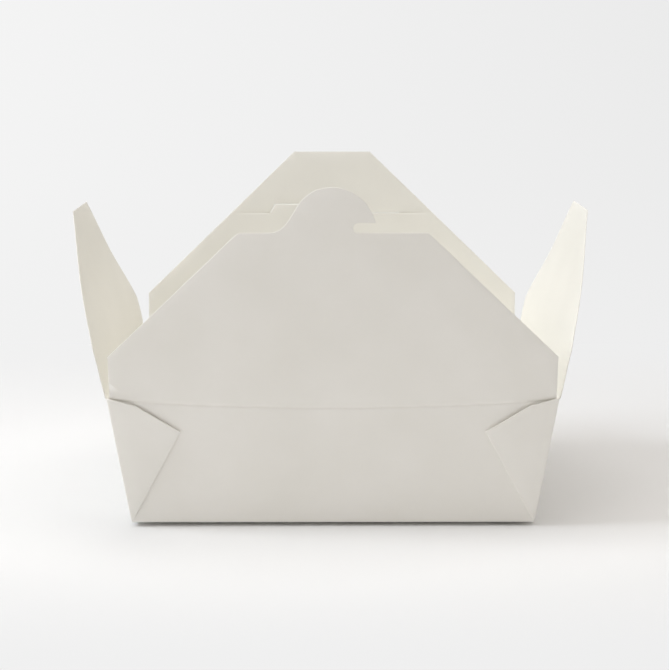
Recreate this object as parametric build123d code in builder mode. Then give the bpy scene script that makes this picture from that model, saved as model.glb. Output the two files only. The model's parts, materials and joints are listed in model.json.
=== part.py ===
"""Takeout food box: a flared paperboard tray with folded web corners and four top flaps, shown open.

The whole box is one sheet of coated board. The base and four walls, with the corner webs folded flat
against the front and rear walls, are the tray. Each top flap turns about its fold line on the tray's rim.
Millimetres, +Z up, +X to the right as seen from the front (-Y). The origin is on the table under the centre.
"""
import os
from math import atan, atan2, cos, pi, radians, sin

from build123d import *

# Board
board = 0.45                # thickness of the paperboard
fold_radius = 1.2           # outside radius of the bottom folds
hinge_gap = 0.2             # clear gap between a wall's top edge and the flap's folded edge
stack_gap = 0.2             # clear gap between flaps that lie on one another when closed

# Tray, measured over its outside faces
base_width = 197.0          # X between the bottom folds
base_depth = 140.0          # Y between the bottom folds
rim_width = 216.0           # X at the side flaps' fold lines
rim_depth = 159.0           # Y at the same height
side_fold_height = 66.7     # of the side flaps' fold lines above the table
fold_lift = 2.0             # the bottom folds spring up this far off the table
rest_inset = 26.0           # from the bottom folds in to the flat that the box rests on

# Pressed score across the front and rear walls, a shallow arc below the rim
score_middle = 60.9         # up the wall from the bottom fold, at the middle
score_bow = 3.0             # its ends stand this much higher
score_width = 1.5
score_bead = 0.15           # how far the pressed line stands proud of the wall

# Web corners: two layers of board folded back on the front and rear walls
web_length = 53.2           # diagonal fold, from its foot to its tip
web_start = 1.5             # the layers close up this far above the bottom corner
web_kink_in = 13.8          # corner of the cut top edge, in from the box's corner
web_kink_drop = 3.5         # and below it
web_gap = 0.25              # air between the layers
web_fold_radius = 0.4       # outside rounding of the folded edges

# Front flap with its locking tab
front_lean = 7.8            # degrees outwards at rest
front_width = 213.2
front_shoulder = 19.2       # height of the straight sides
front_length = 79.8         # from fold line to straight top edge
front_top_width = 88.0
front_corner_radius = 2.0   # rounded left end of the top edge
tab_reach = 21.5            # tab's crown beyond the top edge
tab_root = 29.5             # left start of the tab's curve, from the middle
tab_crown = 0.5             # crown's place left of the middle
tab_hook = 19.6             # right end of the tab, from the middle
tab_root_pull = 12.7        # how far the ends of the tab's two curves hold their direction
tab_left_pull = 19.6
tab_right_pull = 14.4
tab_hook_pull = 2.3
notch_height = 4.6          # slot under the hook
notch_end = 9.2             # its round end, from the middle

# Rear flap with its locking slit
rear_lean = 7.4
rear_width = 209.6
rear_shoulder = 24.1
rear_length = 104.5
rear_top_width = 43.0
slit_height = 69.7          # score line and the slit's lower run, from the fold line
slit_step = 5.0             # the upper run stands this much higher
slit_left = 35.2            # left end, from the middle
slit_right = 39.0           # right end
slit_cross = 9.5            # where the upper run steps down again, right of the middle
slit_slope = 2.9            # sideways run of each step
slit_width = 0.5
line_width = 1.0            # pressed score line on either side of the slit
line_depth = 0.12

# Side flaps
left_lean = 15.1
right_lean = 13.6
side_width = 155.0
side_shoulder = 23.0
side_length = 85.9
side_top_width = 45.5
side_bow = 2.0              # how far the tapering edges bulge

# Worked out from the sizes above
half_board = board / 2
edge_round = 0.9 * half_board
fold_clear = half_board + hinge_gap
stack_step = board + stack_gap
rear_fold_height = side_fold_height + stack_step
front_fold_height = rear_fold_height + stack_step
wall_rise = side_fold_height - fold_lift
side_run = (rim_width - base_width) / 2
end_run = (rim_depth - base_depth) / 2
side_slope = atan(side_run / wall_rise)
end_slope = atan(end_run / wall_rise)

front = Vector(0, -1, 0)
rear = Vector(0, 1, 0)
left = Vector(-1, 0, 0)
right = Vector(1, 0, 0)
up = Vector(0, 0, 1)


def width_at(height):
    """Outside width of the flared tray at a height above the table."""
    return base_width + 2 * side_run * (height - fold_lift) / wall_rise


def depth_at(height):
    """Outside depth of the flared tray at a height above the table."""
    return base_depth + 2 * end_run * (height - fold_lift) / wall_rise


def panel_plane(origin, outward, lean):
    """Plane of a leaning panel: local X along its fold, local Y up it, local Z out of the box."""
    rising = outward * sin(lean) + up * cos(lean)
    normal = outward * cos(lean) - up * sin(lean)
    return Plane(origin=origin, x_dir=rising.cross(normal), z_dir=normal)


def band(start, end, width):
    """Outline of a straight band to the left of the line from start to end."""
    along = (end - start).normalized()
    across = Vector(-along.Y, along.X) * width
    return [start, end, end + across, start + across]


# Outside faces of the front and rear walls, with local origins at the middle of the bottom folds
wall_foot = up * fold_lift
front_wall = panel_plane(wall_foot + front * (base_depth / 2), front, end_slope)
rear_wall = panel_plane(wall_foot + rear * (base_depth / 2), rear, end_slope)
end_slant = wall_rise / cos(end_slope)
side_slant = wall_rise / cos(side_slope)

# The diagonal fold halves the angle that the flared walls leave open at each corner
end_edge_angle = atan2(side_run, end_slant)
side_edge_angle = atan2(end_run, side_slant)
web_angle = (pi / 2 - end_edge_angle - side_edge_angle) / 2 - end_edge_angle
web_stack = 2 * board + 2 * web_gap
web_corner = Vector(-base_width / 2, 0)
web_top = Vector(-rim_width / 2, end_slant)
web_foot = web_corner + (web_top - web_corner) * (web_start / end_slant)
web_kink = web_top + Vector(web_kink_in, -web_kink_drop)
web_tip = web_foot + Vector(sin(web_angle), cos(web_angle)) * web_length

# Web corners: an inner and an outer layer, joined by the diagonal fold and by the fold at the corner
with BuildPart() as web_corners:
    for layer_height in (web_gap, 2 * web_gap + board):
        with BuildSketch(front_wall.offset(layer_height)):
            Polygon(web_foot, web_tip, web_kink, web_top, align=None)
        extrude(amount=board)
    with BuildSketch(front_wall.offset(web_gap)):
        Polygon(*band(web_foot, web_tip, board), align=None)
    extrude(amount=web_stack - web_gap)
    with BuildSketch(front_wall.offset(-half_board)):
        Polygon(*band(web_top, web_foot, board), align=None)
    extrude(amount=web_stack + half_board)
    outer_face = web_corners.faces().sort_by(Axis(front_wall.origin, front_wall.z_dir))[-1]
    fillet(outer_face.edges().sort_by(SortBy.LENGTH)[-2:], web_fold_radius)
    mirror(about=Plane.YZ)
    mirror(about=Plane.XZ)

# Tray: flared shell on a slightly sagging base
front_top = front_fold_height - fold_clear
rear_top = rear_fold_height - fold_clear
side_top = side_fold_height - fold_clear
score_reach = rim_width / 2 - web_kink_in


def flared_pan(thickness, radius):
    """Solid inside the tray's outer faces moved in by a thickness, with its bottom folds rounded."""
    side_inset = 2 * thickness / cos(side_slope)
    end_inset = 2 * thickness / cos(end_slope)
    fold_height = fold_lift + thickness
    with BuildPart() as pan:
        with BuildSketch(Plane.XY.offset(thickness)):
            Rectangle(base_width - 2 * rest_inset, base_depth - 2 * rest_inset)
        for height in (fold_height, front_top + thickness):
            with BuildSketch(Plane.XY.offset(height)):
                Rectangle(width_at(height) - side_inset, depth_at(height) - end_inset)
        loft(ruled=True)
        fillet(pan.edges().filter_by_position(Axis.Z, fold_height - board, fold_height + board), radius)
    return pan.part


outside = flared_pan(0, fold_radius)
inside = flared_pan(board, fold_radius - board)
with BuildPart() as tray:
    add(outside)
    add(inside, mode=Mode.SUBTRACT)
    # The side walls end under their flaps, between the front and rear walls
    with BuildSketch(Plane.XY.offset(side_top)):
        Rectangle(2 * rim_width, depth_at(side_top) - 2 * board / cos(end_slope))
    extrude(amount=front_top, mode=Mode.SUBTRACT)
    # The rear wall ends under the rear flap
    with BuildSketch(Plane.XY.offset(rear_top)):
        with Locations((0, rim_depth)):
            Rectangle(2 * rim_width, 2 * rim_depth)
    extrude(amount=front_top, mode=Mode.SUBTRACT)
    for wall in (front_wall, rear_wall):
        with BuildSketch(wall.offset(-half_board)):
            with BuildLine():
                ThreePointArc(
                    (-score_reach, score_middle + score_bow),
                    (0, score_middle),
                    (score_reach, score_middle + score_bow),
                )
            trace(line_width=score_width)
        extrude(amount=half_board + score_bead)
    add(web_corners.part)
tray.part.label = "tray"

# Front flap: straight shoulders, tapering sides and a tab with a hook on its right
front_fold = front * (depth_at(front_fold_height) / 2 - half_board) + up * front_fold_height
tab_top = front_length + tab_reach
notch_top = front_length + notch_height
notch_centre = notch_end + notch_height / 2
with BuildPart() as front_flap:
    with BuildSketch(panel_plane(front_fold, front, radians(front_lean))) as front_outline:
        with BuildLine():
            Polyline(
                (-tab_root, front_length),
                (-front_top_width / 2, front_length),
                (-front_width / 2, front_shoulder),
                (-front_width / 2, -half_board),
                (front_width / 2, -half_board),
                (front_width / 2, front_shoulder),
                (front_top_width / 2, front_length),
                (notch_centre, front_length),
            )
            ThreePointArc(
                (notch_centre, front_length),
                (notch_end, front_length + notch_height / 2),
                (notch_centre, notch_top),
            )
            Line((notch_centre, notch_top), (tab_hook, notch_top))
            Bezier(
                (tab_hook, notch_top),
                (tab_hook, notch_top + tab_hook_pull),
                (tab_right_pull - tab_crown, tab_top),
                (-tab_crown, tab_top),
            )
            Bezier(
                (-tab_crown, tab_top),
                (-tab_left_pull - tab_crown, tab_top),
                (tab_root_pull - tab_root, front_length),
                (-tab_root, front_length),
            )
        make_face()
        top_left = front_outline.vertices().sort_by_distance((-front_top_width / 2, front_length))[0]
        fillet(top_left, front_corner_radius)
    extrude(amount=half_board, both=True)
    fillet(front_flap.edges().filter_by(Axis.X).sort_by(Axis.Z)[:2], edge_round)
front_flap.part.label = "front_flap"

# Rear flap: longer and narrower, with a stepped locking slit in the middle of a pressed score line
rear_fold = rear * (depth_at(rear_fold_height) / 2 - half_board) + up * rear_fold_height
rear_plane = panel_plane(rear_fold, rear, radians(rear_lean))
slit_top = slit_height + slit_step
line_reach = rear_width - slit_left
with BuildPart() as rear_flap:
    with BuildSketch(rear_plane):
        with BuildLine():
            Polyline(
                (-rear_top_width / 2, rear_length),
                (-rear_width / 2, rear_shoulder),
                (-rear_width / 2, -half_board),
                (rear_width / 2, -half_board),
                (rear_width / 2, rear_shoulder),
                (rear_top_width / 2, rear_length),
                close=True,
            )
        make_face()
    extrude(amount=half_board, both=True)
    fillet(rear_flap.edges().filter_by(Axis.X).sort_by(Axis.Z)[:2], edge_round)
    # The slit is seen from the front, so its left end has positive local X on this outward plane
    with BuildSketch(rear_plane):
        with BuildLine():
            Polyline(
                (slit_left, slit_height),
                (slit_left - slit_slope, slit_top),
                (-slit_cross, slit_top),
                (-slit_cross - slit_slope, slit_height),
                (-slit_right, slit_height),
            )
        trace(line_width=slit_width)
    extrude(amount=board, both=True, mode=Mode.SUBTRACT)
    with BuildSketch(rear_plane.offset(-half_board)):
        with Locations((slit_left + line_reach / 2, slit_height), (-slit_right - line_reach / 2, slit_height)):
            Rectangle(line_reach, line_width)
    extrude(amount=line_depth, mode=Mode.SUBTRACT)
rear_flap.part.label = "rear_flap"


def side_flap(outward, lean):
    """Side flap: straight shoulders below gently bulging, tapering edges."""
    fold = outward * (rim_width / 2 - half_board) + up * side_fold_height
    with BuildPart() as flap:
        with BuildSketch(panel_plane(fold, outward, lean)):
            with BuildLine():
                Line((-side_top_width / 2, side_length), (side_top_width / 2, side_length))
                SagittaArc((side_top_width / 2, side_length), (side_width / 2, side_shoulder), side_bow)
                Polyline(
                    (side_width / 2, side_shoulder),
                    (side_width / 2, -half_board),
                    (-side_width / 2, -half_board),
                    (-side_width / 2, side_shoulder),
                )
                SagittaArc((-side_width / 2, side_shoulder), (-side_top_width / 2, side_length), side_bow)
            make_face()
        extrude(amount=half_board, both=True)
        fillet(flap.edges().filter_by(Axis.Y).sort_by(Axis.Z)[:2], edge_round)
    return flap.part


left_flap = side_flap(left, radians(left_lean))
left_flap.label = "left_flap"
right_flap = side_flap(right, radians(right_lean))
right_flap.label = "right_flap"

os.makedirs("parts", exist_ok=True)
export_step(tray.part, "parts/tray.step")
export_step(front_flap.part, "parts/front_flap.step")
export_step(rear_flap.part, "parts/rear_flap.step")
export_step(left_flap, "parts/left_flap.step")
export_step(right_flap, "parts/right_flap.step")
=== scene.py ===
"""Looks of an open takeout food box of white coated paperboard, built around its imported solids.

Each panel starts as a flat blank: x along its fold line, y up from it, z out of the box. The blank is cut
into rows, bent into place and given the thickness of the board.
"""
import json
from math import atan, atan2, cos, pi, radians, sin

import bmesh
import bpy
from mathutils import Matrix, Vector
from mathutils.geometry import interpolate_bezier


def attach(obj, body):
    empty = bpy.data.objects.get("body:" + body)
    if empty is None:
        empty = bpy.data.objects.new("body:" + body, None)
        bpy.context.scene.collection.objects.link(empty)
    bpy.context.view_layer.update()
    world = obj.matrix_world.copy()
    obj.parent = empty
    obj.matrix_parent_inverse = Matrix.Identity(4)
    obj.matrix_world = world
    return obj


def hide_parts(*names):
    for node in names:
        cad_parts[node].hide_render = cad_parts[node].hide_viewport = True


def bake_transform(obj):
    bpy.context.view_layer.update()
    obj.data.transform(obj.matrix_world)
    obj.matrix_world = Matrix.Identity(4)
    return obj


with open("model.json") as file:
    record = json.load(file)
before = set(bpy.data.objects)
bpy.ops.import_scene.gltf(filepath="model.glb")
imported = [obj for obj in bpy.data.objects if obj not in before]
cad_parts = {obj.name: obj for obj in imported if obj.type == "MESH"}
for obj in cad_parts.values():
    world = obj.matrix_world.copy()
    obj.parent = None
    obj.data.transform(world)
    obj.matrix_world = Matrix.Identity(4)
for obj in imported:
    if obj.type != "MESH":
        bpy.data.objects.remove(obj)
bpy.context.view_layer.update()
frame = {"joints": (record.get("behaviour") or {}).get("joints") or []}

MM = 0.001
UP = Vector((0, 0, 1))
X_AXIS = Vector((1, 0, 0))
Y_AXIS = Vector((0, 1, 0))
FRONT = -Y_AXIS
REAR = Y_AXIS
LEFT = -X_AXIS
RIGHT = X_AXIS

# Board
BOARD = 0.45 * MM
GRID = 6 * MM               # spacing of the rows that a panel is cut into
CREASE = 1.2 * MM           # a flap's fold bends this much board on either side of its line
CREASE_ROWS = 8
SNAP = 0.05 * MM            # a fine row this close to a corner runs through it
GRID_SNAP = 0.5 * MM        # and a coarse one
EDGE_ROUND = 0.2 * MM       # die-cut edges are this soft
EDGE_STEPS = 3
SHARP = 30                  # bends sharper than this many degrees show as an edge
PLAIN, CUT = 1, 2           # a piece's materials after the coated outside

# Tray
BASE_WIDTH = 197 * MM
BASE_DEPTH = 140 * MM
FOLD_LIFT = 2 * MM          # the bottom folds spring up this far off the table
REST_INSET = 26 * MM        # from the bottom folds in to the flat that the box rests on
BOTTOM_BEND = 0.4 * MM
BOTTOM_FOLD = 45            # the base meets the walls at more than this many degrees
CORNER_BEND = 0.5 * MM
BEND_STEPS = 4

# Pressed score across the front and rear walls
SCORE_MIDDLE = 60.2 * MM    # up the wall from the bottom fold
SCORE_BOW = 3 * MM
SCORE_DEPTH = 0.32 * MM
SCORE_HALF = 1.2 * MM
SCORE_ROWS = 5

# Web corners
WEB_LENGTH = 53.2 * MM      # diagonal fold, from its foot to its tip
WEB_START = 1.5 * MM
WEB_FOOT = 0.3 * MM         # the folded edge itself runs on down to here
WEB_KINK_IN = 13.8 * MM
WEB_KINK_DROP = 3.5 * MM
WEB_GAP = 0.15 * MM         # air between the layers where they lie close
WEB_SPRING = 0.55 * MM      # how far the outer layer stands off at its cut top edge
SPRING_RISE = 8 * MM        # over this distance from the diagonal fold and from the box's corner
WEB_RECESS = 3 * MM         # the hidden layer is cut this much lower
WEB_TURN = 0.6 * MM         # bend at the box's corner
WEB_TAIL = 0.6 * MM         # past that bend, onto the side wall
WEB_FLAT_END = 5 * MM       # the layers thin out to nothing below this height
HEM_STEPS = 6
TURN_STEPS = 6

# Front flap with its locking tab
FRONT_WIDTH = 213.2 * MM
FRONT_SHOULDER = 19.2 * MM
FRONT_LENGTH = 79.8 * MM
FRONT_TOP_WIDTH = 88 * MM
FRONT_CORNER = 1.6 * MM
FRONT_CORNER_STEPS = 5
TAB_REACH = 21.5 * MM
TAB_ROOT = 29.5 * MM
TAB_CROWN = 0.5 * MM
TAB_HOOK = 19.6 * MM
TAB_ROOT_PULL = 12.7 * MM
TAB_LEFT_PULL = 19.6 * MM
TAB_RIGHT_PULL = 14.4 * MM
TAB_HOOK_PULL = 2.3 * MM
NOTCH_HEIGHT = 4.6 * MM
NOTCH_END = 9.2 * MM

# Rear flap with its locking slit
REAR_WIDTH = 209.6 * MM
REAR_SHOULDER = 24.1 * MM
REAR_LENGTH = 104.5 * MM
REAR_TOP_WIDTH = 43 * MM
SLIT_HEIGHT = 69.7 * MM
SLIT_STEP = 5 * MM
SLIT_LEFT = 35.2 * MM
SLIT_RIGHT = 39 * MM
SLIT_CROSS = 9.5 * MM
SLIT_SLOPE = 2.9 * MM
SLIT_WIDTH = 0.2 * MM
LINE_DEPTH = 0.2 * MM       # pressed line on either side of the slit
LINE_REACH = 1.0 * MM
LINE_ROWS = 6
LINE_FADE = 6 * MM          # it fades out this close to the flap's edges

# Side flaps
SIDE_WIDTH = 155 * MM
SIDE_SHOULDER = 23 * MM
SIDE_LENGTH = 85.9 * MM
SIDE_TOP_WIDTH = 45.5 * MM
SIDE_BOW = 2 * MM
ROLL = 1.05 * MM            # towards the front, the fold rolls out past the wall
ROLL_REACH = 26 * MM
BULGE = 1.25 * MM           # and the board bulges out further up
BULGE_HEIGHT = 50 * MM
BULGE_REACH = 36 * MM
PULL = 2.65 * MM            # towards the rear, its shoulder is drawn in
PULL_HEIGHT = 21.5 * MM
PULL_REACH = 40 * MM
PULL_START = 8 * MM

CURVE_POINTS = 14

# Finishes
CLOUD_SIZE = 40 * MM        # clouding of the pulp
CLOUD_RANGE = (0.3, 0.7)    # part of the clouding that runs from the dark to the light tone
FIBRE_SIZE = 0.7 * MM       # fibre tooth, drawn coarser than the real one so that it shows
TOOTH_STRENGTH = 0.12

# Studio light: where each soft lamp hangs, its size, power and colour
ROOM_LEVEL = 0.24
DAYLIGHT = "F2F8FF"
ROOM_LIGHT = "FFFBF6"
LAMPS = {
    "key": (Vector((-1.53, -0.27, 1.56)), 0.8, 20.8, DAYLIGHT),
    "top": (Vector((0.1, 0.0, 1.9)), 1.6, 17.6, ROOM_LIGHT),
    "left_fill": (Vector((-1.4, -1.5, 0.9)), 1.5, 7.4, ROOM_LIGHT),
    "right_fill": (Vector((1.9, 0.2, 1.1)), 1.5, 4.6, ROOM_LIGHT),
}

# Floor that curves up into a backdrop
BACKDROP_HALF = 4.0
FLOOR_NEAR = -2.5
FLOOR_FAR = 1.6
BACKDROP_BEND = 0.8
BACKDROP_TOP = 3.5
BACKDROP_STEPS = 24
REAR_FADE = (0.1, 0.4)      # away from the box, the floor passes into the plain background
FRONT_FADE = (-0.1, -0.25)
LEFT_FADE = (-0.3, -0.6)
RIGHT_FADE = (0.3, 0.6)
# Painted shade: the plain background is painted darker towards the right, as if the light from the left
# fell off
TONE_REACH = 0.8            # the background darkens from left to right over twice this distance
TONE_SPREAD = 0.4           # and over this part of the view, left and right

# Camera
FOCAL_LENGTH = 86.39
SENSOR = 36
CAMERA_AT = Vector((-3.13, -826.8, 238.2)) * MM
CAMERA_PITCH = 10.69
CAMERA_YAW = 0.29

joints = {joint["name"]: joint for joint in frame["joints"]}


def fold_point(name):
    """Middle of a flap's fold line."""
    return Vector(joints[name]["pos_m"])


def lean_of(name):
    """How far a flap leans outwards at rest: the part of a right angle that its outward travel leaves."""
    return radians(90 - min(abs(limit) for limit in joints[name]["range_deg"]))


def wall_slope(name, outward, base_half):
    """Outward slope of the wall below a flap."""
    fold = fold_point(name)
    return atan((fold.dot(outward) + BOARD / 2 - base_half) / (fold.z - FOLD_LIFT))


END_SLOPE = wall_slope("front_fold", FRONT, BASE_DEPTH / 2)
SIDE_SLOPE = wall_slope("left_fold", LEFT, BASE_WIDTH / 2)
SIDE_FOLD = fold_point("left_fold").z
RIM_HALF = -fold_point("left_fold").x + BOARD / 2
SCORE_REACH = RIM_HALF - WEB_KINK_IN


def score(x):
    """Height of the pressed score up the wall from the bottom fold."""
    return SCORE_MIDDLE + SCORE_BOW * (x / SCORE_REACH) ** 2


def smooth(t):
    """Ease from 0 to 1."""
    t = min(max(t, 0), 1)
    return t * t * (3 - 2 * t)


def bead(distance, reach):
    """Rounded ridge of height 1 on a line."""
    return cos(pi / 2 * min(abs(distance) / reach, 1)) ** 2


def rows(low, high, step):
    """Even places between two ends, no further apart than a step."""
    count = max(round((high - low) / step), 1)
    return [low + (high - low) * i / count for i in range(count + 1)]


def leaning(outward, slope):
    """Directions up a leaning panel and out of it."""
    return outward * sin(slope) + UP * cos(slope), outward * cos(slope) - UP * sin(slope)


def cut(bm, axis, places, snap):
    """Cut a mesh along planes across an axis."""
    for place in places:
        everything = bm.verts[:] + bm.edges[:] + bm.faces[:]
        bmesh.ops.bisect_plane(bm, geom=everything, dist=snap, plane_co=axis * place, plane_no=axis)


def outline_face(bm, outline):
    """One face inside an outline."""
    return bm.faces.new([bm.verts.new((point[0], point[1], 0)) for point in outline])


def bowed(start, end, bow):
    """Curve that bulges to the right of the way from start to end."""
    start, end = Vector(start), Vector(end)
    third = (end - start) / 3
    lift = Vector((third.y, -third.x)).normalized() * (bow * 4 / 3)
    return interpolate_bezier(start, start + third + lift, end - third + lift, end, CURVE_POINTS)


def curve(*points):
    """Bezier curve through four points."""
    return interpolate_bezier(*[Vector(point) for point in points], CURVE_POINTS)


def only(kind, items):
    """The items of one kind."""
    return [item for item in items if isinstance(item, kind)]


def span(edge):
    """How far an edge runs along each axis."""
    return [abs(size) for size in edge.verts[0].co - edge.verts[1].co]


def round_off(bm, parts, size, steps, affect="EDGES"):
    """Round edges or corners off."""
    bmesh.ops.bevel(
        bm, geom=parts, offset=size, segments=steps, profile=0.5, affect=affect, material=-1
    )


def soften_cut_edges(mesh, free):
    """Round the cut edges off a little where they lie free."""
    bm = bmesh.new()
    bm.from_mesh(mesh)
    edges = [
        edge for edge in bm.edges
        if len({face.material_index == CUT for face in edge.link_faces}) == 2
        and all(free(vert.co) for vert in edge.verts)
    ]
    round_off(bm, edges, EDGE_ROUND, EDGE_STEPS)
    bm.to_mesh(mesh)
    bm.free()


def board(name, bm, outside=None, free=None):
    """Turn a mid-surface into board of the real thickness: coated outside, plain inside and raw edges.

    The coated side of a flat sheet faces outside, and free tells which points are on a free edge.
    """
    bmesh.ops.recalc_face_normals(bm, faces=bm.faces)
    if outside and sum(face.normal.dot(outside) * face.calc_area() for face in bm.faces) < 0:
        bmesh.ops.reverse_faces(bm, faces=bm.faces)
    sheet = bpy.data.meshes.new(name)
    bm.to_mesh(sheet)
    bm.free()
    for material in (coated_board, plain_board, cut_edge):
        sheet.materials.append(material)
    obj = bpy.data.objects.new(name, sheet)
    bpy.context.scene.collection.objects.link(obj)
    thick = obj.modifiers.new("board", "SOLIDIFY")
    thick.thickness = BOARD
    thick.offset = 0
    thick.use_even_offset = True
    thick.use_quality_normals = True
    thick.material_offset = PLAIN
    thick.material_offset_rim = CUT
    evaluated = obj.evaluated_get(bpy.context.evaluated_depsgraph_get())
    obj.data = bpy.data.meshes.new_from_object(evaluated)
    obj.data.name = name
    obj.modifiers.clear()
    if free:
        soften_cut_edges(obj.data, free)
    obj.data.shade_smooth()
    obj.data.set_sharp_from_angle(angle=radians(SHARP))
    return obj


def srgb(code):
    """Linear colour of a hex code."""
    levels = [int(code[i:i + 2], 16) / 255 for i in (0, 2, 4)]
    linear = [c / 12.92 if c <= 0.04045 else ((c + 0.055) / 1.055) ** 2.4 for c in levels]
    return (*linear, 1)


def add_node(tree, kind, settings=None, **links):
    """Add a node, set its inputs and connect it."""
    made = tree.nodes.new(kind)
    for key, value in (settings or {}).items():
        if key in made.inputs:
            made.inputs[key].default_value = value
        else:
            setattr(made, key, value)
    for key, socket in links.items():
        tree.links.new(socket, made.inputs[key.replace("_", " ")])
    return made


def new_material(name):
    """Material with its tree and its main shader."""
    material = bpy.data.materials.new(name)
    material.use_nodes = True
    return material, material.node_tree, material.node_tree.nodes["Principled BSDF"]


def make_board_face(name, dark, light, roughness, tooth_height):
    """Face of the board: faintly clouded colour over a fine fibre tooth."""
    material, tree, shader = new_material(name)
    place = add_node(tree, "ShaderNodeTexCoord").outputs["Object"]
    cloud = add_node(tree, "ShaderNodeTexNoise", {"Scale": 1 / CLOUD_SIZE, "Detail": 3}, Vector=place)
    tone = add_node(tree, "ShaderNodeValToRGB", Fac=cloud.outputs["Fac"])
    for stop, position, colour in zip(tone.color_ramp.elements, CLOUD_RANGE, (dark, light)):
        stop.position = position
        stop.color = srgb(colour)
    tree.links.new(tone.outputs["Color"], shader.inputs["Base Color"])
    fibre = add_node(tree, "ShaderNodeTexNoise", {"Scale": 1 / FIBRE_SIZE, "Detail": 3}, Vector=place)
    tooth = add_node(
        tree, "ShaderNodeBump", {"Strength": TOOTH_STRENGTH, "Distance": tooth_height},
        Height=fibre.outputs["Fac"],
    )
    tree.links.new(tooth.outputs["Normal"], shader.inputs["Normal"])
    shader.inputs["Roughness"].default_value = roughness
    return material


def make_cut_edge():
    """Raw cut edge of the board: matt, uncoated fibre."""
    material, _, shader = new_material("raw_board_edge")
    shader.inputs["Base Color"].default_value = srgb("F4F1EA")
    shader.inputs["Roughness"].default_value = 0.85
    return material


# Clay coating outside: a smooth, clean satin white
coated_board = make_board_face(
    "clay_coated_paperboard", dark="F3F0E9", light="F7F4EE", roughness=0.5, tooth_height=0.05 * MM
)
# Bare pulp inside: a matt white with more tooth
plain_board = make_board_face(
    "uncoated_paperboard", dark="F4F2EB", light="F8F6EF", roughness=0.75, tooth_height=0.08 * MM
)
# Cut fibre: chalky, with no gloss
cut_edge = make_cut_edge()


def next_row(bm, edges):
    """Extrude a row of faces from the edge of a panel and return its new edge."""
    grown = bmesh.ops.extrude_edge_only(bm, edges=edges)["geom"]
    return [
        edge for edge in only(bmesh.types.BMEdge, grown)
        if edge.is_boundary and span(edge)[0] > BOARD
    ]


def make_tray():
    """Base and four walls, up to the side flaps' folds and to the score on the front and rear walls."""
    half_width = BASE_WIDTH / 2 - BOARD / 2 / cos(SIDE_SLOPE)
    half_depth = BASE_DEPTH / 2 - BOARD / 2 / cos(END_SLOPE)
    floor = FOLD_LIFT + BOARD / 2
    corner = score(RIM_HALF) - SCORE_HALF
    top = FOLD_LIFT + corner * cos(END_SLOPE)
    bm = bmesh.new()
    bmesh.ops.create_grid(bm, x_segments=1, y_segments=1, size=1)
    bmesh.ops.scale(bm, vec=(half_width, half_depth, 1), verts=bm.verts)
    bmesh.ops.translate(bm, vec=UP * floor, verts=bm.verts)
    walls = bmesh.ops.extrude_edge_only(bm, edges=bm.edges[:])["geom"]
    for vert in only(bmesh.types.BMVert, walls):
        vert.co.x *= 1 + (top - floor) * sin(SIDE_SLOPE) / cos(SIDE_SLOPE) / half_width
        vert.co.y *= 1 + (top - floor) * sin(END_SLOPE) / cos(END_SLOPE) / half_depth
        vert.co.z = top
    corners = [edge for edge in bm.edges if span(edge)[2] > BOARD]
    round_off(bm, corners, CORNER_BEND, BEND_STEPS)
    cut(bm, X_AXIS, rows(-half_width, half_width, GRID)[1:-1], GRID_SNAP)
    cut(bm, Y_AXIS, rows(-half_depth, half_depth, GRID)[1:-1], GRID_SNAP)
    cut(bm, UP, rows(floor, top, GRID)[1:-1], GRID_SNAP)
    folds = [
        edge for edge in bm.edges
        if len(edge.link_faces) == 2 and edge.calc_face_angle() > radians(BOTTOM_FOLD)
        and span(edge)[2] < BOARD
    ]

    # The front and rear walls run up to the score, which is pressed in as a groove
    for outward in (FRONT, REAR):
        rising, facing = leaning(outward, END_SLOPE)
        edges = [
            edge for edge in bm.edges
            if edge.is_boundary and all(vert.co.dot(outward) > half_depth for vert in edge.verts)
            and span(edge)[0] > span(edge)[1]
        ]
        for vert in {vert for edge in edges for vert in edge.verts}:
            vert.co += rising * (score(vert.co.x) - score(RIM_HALF))
        for row in range(1, SCORE_ROWS + 1):
            edges = next_row(bm, edges)
            lift = -SCORE_DEPTH * (
                bead(SCORE_HALF * (1 - row / SCORE_ROWS), SCORE_HALF)
                - bead(SCORE_HALF * (1 - (row - 1) / SCORE_ROWS), SCORE_HALF)
            )
            for vert in {vert for edge in edges for vert in edge.verts}:
                vert.co += rising * (SCORE_HALF / SCORE_ROWS) + facing * lift

    # The base sags to the flat that it rests on
    for vert in bm.verts:
        if abs(vert.co.z - floor) < BOARD / 4:
            inset = min(half_width - abs(vert.co.x), half_depth - abs(vert.co.y))
            vert.co.z -= FOLD_LIFT * smooth(inset / REST_INSET)
    round_off(bm, folds, BOTTOM_BEND, BEND_STEPS)
    return board("tray_sheet", bm)


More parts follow.
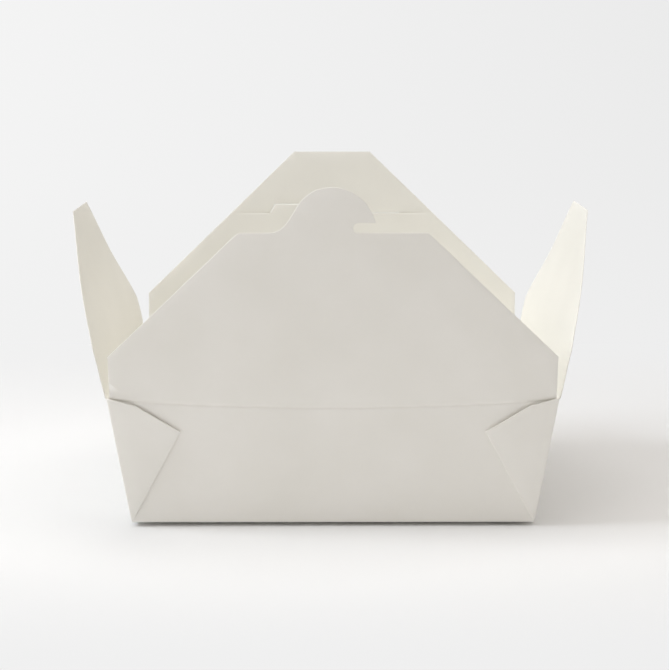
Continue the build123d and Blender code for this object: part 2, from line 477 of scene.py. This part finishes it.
def make_webs():
    """Four corner webs: board folded double and laid against the front and rear walls."""
    slant = (SIDE_FOLD - FOLD_LIFT) / cos(END_SLOPE)
    corner = Vector((BOARD / 2 - BASE_WIDTH / 2, 0, 0))
    top = Vector((BOARD / 2 - RIM_HALF, slant, 0))
    end_edge = atan2(RIM_HALF - BASE_WIDTH / 2, slant)
    diagonal = (pi / 2 - 2 * end_edge) / 2 - end_edge
    along_turn = (top - corner).normalized()
    tip = corner + along_turn * WEB_START + Vector((sin(diagonal), cos(diagonal), 0)) * WEB_LENGTH
    foot = corner + along_turn * WEB_FOOT
    kink = top + Vector((WEB_KINK_IN, -WEB_KINK_DROP, 0))
    inner = UP * (WEB_GAP + BOARD / 2)
    outer = inner + UP * (WEB_GAP + BOARD)

    # The outside of the rounded hem lies on the diagonal fold line
    along_fold = (tip - foot).normalized()
    inward = UP.cross(along_fold)
    hem_reach = (WEB_GAP + BOARD) / 2 + BOARD / 2
    hem_tip = tip + (kink - tip) * (hem_reach / (kink - tip).dot(inward))
    bend = X_AXIS * WEB_TURN
    hem_foot = foot + bend + along_turn * ((hem_reach - bend.dot(inward)) / along_turn.dot(inward))
    bm = bmesh.new()
    outer_face = bm.faces.new([
        bm.verts.new(point + outer) for point in (hem_foot, hem_tip, kink, top + bend)
    ])
    hem, _, _, turn = outer_face.edges
    around = bmesh.ops.spin(
        bm, geom=[hem], cent=hem_foot + (inner + outer) / 2, axis=along_fold, angle=pi, steps=HEM_STEPS
    )["geom_last"]
    low, high = sorted(only(bmesh.types.BMVert, around), key=lambda vert: vert.co.y)
    recess = inner - Y_AXIS * WEB_RECESS
    bm.faces.new([high, low, bm.verts.new(top + bend + recess), bm.verts.new(kink + recess)])
    wrapped = bmesh.ops.spin(
        bm, geom=[turn], cent=foot + bend + outer - UP * WEB_TURN, axis=along_turn, angle=-pi / 2,
        steps=TURN_STEPS,
    )["geom_last"]
    tail = bmesh.ops.extrude_edge_only(bm, edges=only(bmesh.types.BMEdge, wrapped))["geom"]
    for vert in only(bmesh.types.BMVert, tail):
        vert.co.z = -WEB_TAIL
    cut(bm, X_AXIS, rows(top.x, tip.x, GRID / 2)[1:-1], SNAP)
    cut(bm, Y_AXIS, rows(foot.y, top.y, GRID / 2)[1:-1], SNAP)

    # The outer layer springs off towards its cut top edge, and the layers run out at the bottom corner
    for vert in bm.verts:
        from_fold = along_fold.cross(vert.co - hem_foot).z
        from_turn = -along_turn.cross(vert.co - foot).z
        if vert.co.z > outer.z - BOARD / 4:
            vert.co.z += WEB_SPRING * smooth(from_fold / SPRING_RISE) * smooth(from_turn / SPRING_RISE)
        if vert.co.z > 0:
            vert.co.z *= smooth(vert.co.y / WEB_FLAT_END)
    rising, facing = leaning(FRONT, END_SLOPE)
    origin = UP * FOLD_LIFT + FRONT * (BASE_DEPTH / 2)
    for vert in bm.verts:
        vert.co = origin + X_AXIS * vert.co.x + rising * vert.co.y + facing * vert.co.z
    for axis in ("X", "Y"):
        bmesh.ops.mirror(bm, geom=bm.verts[:] + bm.edges[:] + bm.faces[:], axis=axis, merge_dist=-1)
    return board("web_corners", bm, free=lambda place: place.z > SIDE_FOLD / 2)


def make_flap(name, body, joint, outward, slope, bm, shape=None):
    """Cut a flat blank into rows, shape it and bend it into place at its fold line."""
    fold = fold_point(joint)
    lean = lean_of(joint)
    along = UP.cross(outward)
    for axis, sizes in ((X_AXIS, [v.co.x for v in bm.verts]), (Y_AXIS, [v.co.y for v in bm.verts])):
        cut(bm, axis, rows(min(sizes), max(sizes), GRID)[1:-1], GRID_SNAP)
    cut(bm, Y_AXIS, rows(-CREASE, CREASE, 2 * CREASE / CREASE_ROWS), SNAP)
    if shape:
        shape(bm)
    for vert in bm.verts:
        rising, facing = leaning(outward, lean if vert.co.y > 0 else slope)
        vert.co = fold + along * vert.co.x + rising * vert.co.y + facing * vert.co.z
    rising = leaning(outward, lean)[0]
    obj = board(name, bm, outward, lambda place: (place - fold).dot(rising) > CREASE)
    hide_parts(body)
    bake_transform(obj)
    return obj


def fold_slant(joint):
    """Length of an end wall from the bottom fold up to a flap's fold line."""
    return (fold_point(joint).z - FOLD_LIFT) / cos(END_SLOPE)


def score_edge(joint, width):
    """Lower edge of an end flap's blank, just above the score."""
    slant = fold_slant(joint)
    return [(x, score(x) + SCORE_HALF - slant) for x in rows(-width / 2, width / 2, GRID)]


def grow_to_score(bm, joint):
    """Carry an end flap's blank down to the score in fine rows that sink into its groove."""
    slant = fold_slant(joint)
    edges = [
        edge for edge in bm.edges
        if edge.is_boundary
        and all(abs(v.co.y + slant - score(v.co.x) - SCORE_HALF) < BOARD / 4 for v in edge.verts)
    ]
    for row in range(1, SCORE_ROWS + 1):
        edges = next_row(bm, edges)
        for vert in {vert for edge in edges for vert in edge.verts}:
            vert.co.y -= SCORE_HALF / SCORE_ROWS
            vert.co.z = -SCORE_DEPTH * bead(SCORE_HALF * (1 - row / SCORE_ROWS), SCORE_HALF)


def make_front_flap():
    """Front flap with its hooked locking tab."""
    tab_top = FRONT_LENGTH + TAB_REACH
    notch_top = FRONT_LENGTH + NOTCH_HEIGHT
    round_end = NOTCH_HEIGHT / 2
    notch_centre = NOTCH_END + round_end
    crown = (-TAB_CROWN, tab_top)
    notch = [
        (notch_centre - round_end * sin(turn), FRONT_LENGTH + round_end * (1 - cos(turn)))
        for turn in rows(0, pi, pi / CURVE_POINTS)
    ]
    hook_side = curve(
        (TAB_HOOK, notch_top), (TAB_HOOK, notch_top + TAB_HOOK_PULL),
        (TAB_RIGHT_PULL - TAB_CROWN, tab_top), crown,
    )
    root_side = curve(
        crown, (-TAB_LEFT_PULL - TAB_CROWN, tab_top), (TAB_ROOT_PULL - TAB_ROOT, FRONT_LENGTH),
        (-TAB_ROOT, FRONT_LENGTH),
    )
    bm = bmesh.new()
    face = outline_face(bm, [
        *score_edge("front_fold", FRONT_WIDTH),
        (FRONT_WIDTH / 2, FRONT_SHOULDER),
        (FRONT_TOP_WIDTH / 2, FRONT_LENGTH),
        *notch,
        *hook_side,
        *root_side[1:],
        (-FRONT_TOP_WIDTH / 2, FRONT_LENGTH),
        (-FRONT_WIDTH / 2, FRONT_SHOULDER),
    ])
    round_off(bm, [face.verts[-2]], FRONT_CORNER, FRONT_CORNER_STEPS, affect="VERTICES")

    def shape(bm):
        grow_to_score(bm, "front_fold")

    return make_flap("front_flap_sheet", "front_flap", "front_fold", FRONT, END_SLOPE, bm, shape)


def make_rear_flap():
    """Rear flap with its stepped locking slit and the pressed lines that lead out from it."""
    top = SLIT_HEIGHT + SLIT_STEP
    half = SLIT_WIDTH / 2
    bm = bmesh.new()
    outline_face(bm, [
        *score_edge("rear_fold", REAR_WIDTH),
        (REAR_WIDTH / 2, REAR_SHOULDER),
        (REAR_TOP_WIDTH / 2, REAR_LENGTH),
        (-REAR_TOP_WIDTH / 2, REAR_LENGTH),
        (-REAR_WIDTH / 2, REAR_SHOULDER),
    ])
    # Seen from behind, so the slit's left end as seen from the front has positive x
    outline_face(bm, [
        (SLIT_LEFT + half, SLIT_HEIGHT),
        (SLIT_LEFT - SLIT_SLOPE + half, top + half),
        (-SLIT_CROSS - half, top + half),
        (-SLIT_CROSS - SLIT_SLOPE - half, SLIT_HEIGHT + half),
        (-SLIT_RIGHT, SLIT_HEIGHT + half),
        (-SLIT_RIGHT, SLIT_HEIGHT - half),
        (-SLIT_CROSS - SLIT_SLOPE + half, SLIT_HEIGHT - half),
        (-SLIT_CROSS + half, top - half),
        (SLIT_LEFT - SLIT_SLOPE - half, top - half),
        (SLIT_LEFT - half, SLIT_HEIGHT),
    ])
    bmesh.ops.delete(bm, geom=bm.faces[:], context="FACES_ONLY")
    bmesh.ops.triangle_fill(bm, edges=bm.edges[:], use_beauty=True)
    line_rows = rows(SLIT_HEIGHT - LINE_REACH, SLIT_HEIGHT + LINE_REACH, 2 * LINE_REACH / LINE_ROWS)
    cut(bm, Y_AXIS, line_rows, SNAP)
    taper = (REAR_WIDTH - REAR_TOP_WIDTH) / 2 / (REAR_LENGTH - REAR_SHOULDER)
    line_end = REAR_WIDTH / 2 - taper * (SLIT_HEIGHT - REAR_SHOULDER)

    def shape(bm):
        grow_to_score(bm, "rear_fold")
        for vert in bm.verts:
            if vert.co.x > SLIT_LEFT + half or vert.co.x < -SLIT_RIGHT - half:
                fade = smooth((line_end - abs(vert.co.x)) / LINE_FADE)
                vert.co.z += LINE_DEPTH * fade * bead(vert.co.y - SLIT_HEIGHT, LINE_REACH)

    return make_flap("rear_flap_sheet", "rear_flap", "rear_fold", REAR, END_SLOPE, bm, shape)


def make_side_flap(name, body, joint, outward):
    """Side flap with gently bulging, tapering edges."""
    corner = FOLD_LIFT + (score(RIM_HALF) - SCORE_HALF) * cos(END_SLOPE)
    seam = (corner - SIDE_FOLD) / cos(SIDE_SLOPE)
    shoulder = SIDE_WIDTH / 2
    tip = SIDE_TOP_WIDTH / 2
    bm = bmesh.new()
    outline_face(bm, [
        (-shoulder, seam),
        (shoulder, seam),
        *bowed((shoulder, SIDE_SHOULDER), (tip, SIDE_LENGTH), SIDE_BOW),
        *bowed((-tip, SIDE_LENGTH), (-shoulder, SIDE_SHOULDER), SIDE_BOW),
    ])
    rear_way = UP.cross(outward).dot(REAR)

    def shape(bm):
        for vert in bm.verts:
            height = vert.co.y
            roll = ROLL * bead(height, ROLL_REACH if height > 0 else -seam)
            bulge = BULGE * bead(height - BULGE_HEIGHT, BULGE_REACH)
            pull = PULL * bead(height - PULL_HEIGHT, PULL_REACH) * smooth(height / PULL_START)
            to_rear = 0.5 + rear_way * vert.co.x / SIDE_WIDTH
            vert.co.z = (roll + bulge) * (1 - to_rear) - pull * to_rear

    return make_flap(name, body, joint, outward, SIDE_SLOPE, bm, shape)


tray_sheet = make_tray()
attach(tray_sheet, "tray")
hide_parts("tray")
web_corners = make_webs()
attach(web_corners, "tray")
make_front_flap()
make_rear_flap()
make_side_flap("left_flap_sheet", "left_flap", "left_fold", LEFT)
make_side_flap("right_flap_sheet", "right_flap", "right_fold", RIGHT)


def greatest(tree, sockets):
    """Greatest of several values."""
    result = sockets[0]
    for socket in sockets[1:]:
        pick = add_node(tree, "ShaderNodeMath", {"operation": "MAXIMUM"})
        tree.links.new(result, pick.inputs[0])
        tree.links.new(socket, pick.inputs[1])
        result = pick.outputs[0]
    return result


def seen_directly(tree):
    """1 for what the camera sees, straight, mirrored or through glass, and 0 for the light in the room."""
    path = add_node(tree, "ShaderNodeLightPath")
    return greatest(tree, [path.outputs[f"Is {ray} Ray"] for ray in ("Camera", "Glossy", "Transmission")])


def background_with_painted_falloff(tree, place, reach):
    """Colour of the plain background, with painted shade: a little darker towards the right, as if the
    light from the left fell off.
    """
    parts = add_node(tree, "ShaderNodeSeparateXYZ", Vector=place)
    across = add_node(
        tree, "ShaderNodeMapRange", {"From Min": -reach, "From Max": reach}, Value=parts.outputs["X"]
    )
    tone = add_node(tree, "ShaderNodeValToRGB", Fac=across.outputs["Result"])
    tone.color_ramp.elements[0].color = srgb("F5F5F5")
    tone.color_ramp.elements[1].color = srgb("EAEAEA")
    return tone.outputs["Color"]


def make_backdrop():
    """Pale paper sweep: floor, bend and wall in one sheet."""
    bm = bmesh.new()
    edge = bm.edges.new([bm.verts.new((x, FLOOR_NEAR, 0)) for x in (-BACKDROP_HALF, BACKDROP_HALF)])
    for step in (Y_AXIS * (FLOOR_FAR - FLOOR_NEAR), None, UP * (BACKDROP_TOP - BACKDROP_BEND)):
        if step is None:
            grown = bmesh.ops.spin(
                bm, geom=[edge], cent=(0, FLOOR_FAR, BACKDROP_BEND), axis=X_AXIS, angle=pi / 2,
                steps=BACKDROP_STEPS,
            )["geom_last"]
        else:
            grown = bmesh.ops.extrude_edge_only(bm, edges=[edge])["geom"]
            bmesh.ops.translate(bm, vec=step, verts=only(bmesh.types.BMVert, grown))
        edge = only(bmesh.types.BMEdge, grown)[0]
    bmesh.ops.recalc_face_normals(bm, faces=bm.faces)
    mesh = bpy.data.meshes.new("backdrop")
    bm.to_mesh(mesh)
    bm.free()
    mesh.shade_smooth()
    obj = bpy.data.objects.new("backdrop", mesh)
    bpy.context.scene.collection.objects.link(obj)
    material, tree, shader = new_material("backdrop_paper")
    shader.inputs["Base Color"].default_value = srgb("F2F2F2")
    shader.inputs["Roughness"].default_value = 0.9
    place = add_node(tree, "ShaderNodeTexCoord").outputs["Object"]
    parts = add_node(tree, "ShaderNodeSeparateXYZ", Vector=place)
    # Away from the box the camera sees a glow, not the lit floor, with painted shade that darkens it
    # towards the right
    glow = add_node(tree, "ShaderNodeEmission", Color=background_with_painted_falloff(tree, place, TONE_REACH))
    fades = []
    for axis, (near, far) in (("Y", REAR_FADE), ("Y", FRONT_FADE), ("X", LEFT_FADE), ("X", RIGHT_FADE)):
        fade = add_node(
            tree, "ShaderNodeMapRange",
            {"From Min": near, "From Max": far, "interpolation_type": "SMOOTHSTEP"},
            Value=parts.outputs[axis],
        )
        fades.append(fade.outputs["Result"])
    share = add_node(tree, "ShaderNodeMath", {"operation": "MULTIPLY"})
    tree.links.new(seen_directly(tree), share.inputs[0])
    tree.links.new(greatest(tree, fades), share.inputs[1])
    mixed = add_node(tree, "ShaderNodeMixShader")
    tree.links.new(share.outputs[0], mixed.inputs[0])
    tree.links.new(shader.outputs[0], mixed.inputs[1])
    tree.links.new(glow.outputs[0], mixed.inputs[2])
    tree.links.new(mixed.outputs[0], tree.nodes["Material Output"].inputs["Surface"])
    mesh.materials.append(material)


def make_world():
    """Even, dim room light, which the camera sees as the plain background."""
    world = bpy.data.worlds.new("studio")
    world.use_nodes = True
    tree = world.node_tree
    room = tree.nodes["Background"]
    room.inputs["Color"].default_value = srgb(ROOM_LIGHT)
    room.inputs["Strength"].default_value = ROOM_LEVEL
    way = add_node(tree, "ShaderNodeTexCoord").outputs["Generated"]
    # The camera sees the world as the same background, with painted shade that darkens it towards the
    # right
    view = add_node(tree, "ShaderNodeBackground", Color=background_with_painted_falloff(tree, way, TONE_SPREAD))
    mixed = add_node(tree, "ShaderNodeMixShader", Fac=seen_directly(tree))
    tree.links.new(room.outputs[0], mixed.inputs[1])
    tree.links.new(view.outputs[0], mixed.inputs[2])
    tree.links.new(mixed.outputs[0], tree.nodes["World Output"].inputs["Surface"])
    bpy.context.scene.world = world


def make_light(name, place, size, watts, colour):
    """Soft square lamp that looks at the box."""
    lamp = bpy.data.lights.new(name, "AREA")
    lamp.size = size
    lamp.energy = watts
    lamp.color = srgb(colour)[:3]
    obj = bpy.data.objects.new(name, lamp)
    obj.location = place
    obj.rotation_euler = (-place).to_track_quat("-Z", "Y").to_euler()
    bpy.context.scene.collection.objects.link(obj)


def make_camera():
    """Camera where the photograph was taken from."""
    camera = bpy.data.cameras.new("camera")
    camera.sensor_width = SENSOR
    camera.lens = FOCAL_LENGTH
    obj = bpy.data.objects.new("camera", camera)
    obj.location = CAMERA_AT
    obj.rotation_euler = (radians(90 - CAMERA_PITCH), 0, radians(-CAMERA_YAW))
    bpy.context.scene.collection.objects.link(obj)
    bpy.context.scene.camera = obj


scene = bpy.context.scene
scene.view_settings.view_transform = "Standard"
make_world()
make_backdrop()
for lamp_name, settings in LAMPS.items():
    make_light(lamp_name, *settings)
make_camera()
